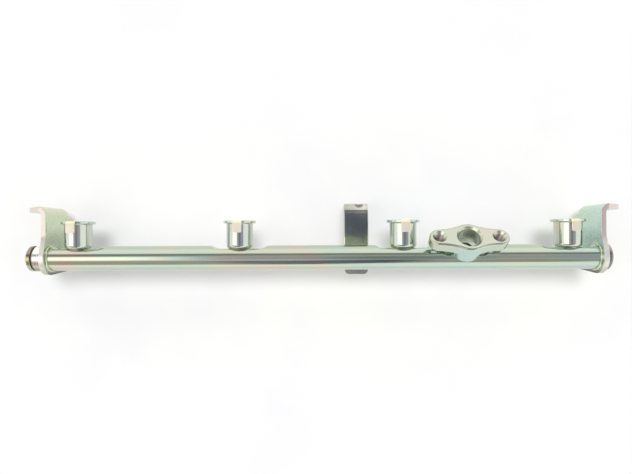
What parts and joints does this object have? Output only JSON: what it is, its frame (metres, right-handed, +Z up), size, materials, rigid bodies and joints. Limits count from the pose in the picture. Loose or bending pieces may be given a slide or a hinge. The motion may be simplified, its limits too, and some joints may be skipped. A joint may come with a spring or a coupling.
{
  "type": "fuel rail",
  "caption": "Plated steel tube with injector cups along one side, an L-shaped bolt bracket at each end, a clip bracket and a tilted two-bolt inlet flange.",
  "frame": {"origin": "middle of the bounding box, on the surface that the rail lies on", "axes": "+X along the tube towards its plain cap; +Y the way the injector cups open; +Z up, the rail lying on the rear edges of its end plates"},
  "size_m": [0.3126, 0.0376, 0.044],
  "materials": {
    "tube": "bright zinc plate with a yellow-green iridescent chromate",
    "cup": "bright zinc plate with a yellow-green iridescent chromate",
    "bracket": "bright zinc plate with a green and yellow iridescent chromate",
    "clip_bracket": "bright zinc plate with an olive iridescent chromate",
    "flange": "forged, machined on top, zinc plated",
    "fitting": "turned, zinc plated with a pink-yellow tint",
    "plug": "turned, yellow-olive chromated zinc",
    "sealing_ring": "dull soft metal"
  },
  "bodies": {
    "root": {"rail_tube": "tube", "end_bracket_right": "bracket", "end_bracket_left": "bracket", "clip_bracket": "clip_bracket", "inlet_flange": "flange", "end_boss": "fitting", "sealing_ring": "sealing_ring", "screw_plug": "plug", "end_cap": "fitting", "injector_cup_1": "cup", "injector_cup_2": "cup", "injector_cup_3": "cup", "injector_cup_4": "cup"}
  },
  "joints": []
}
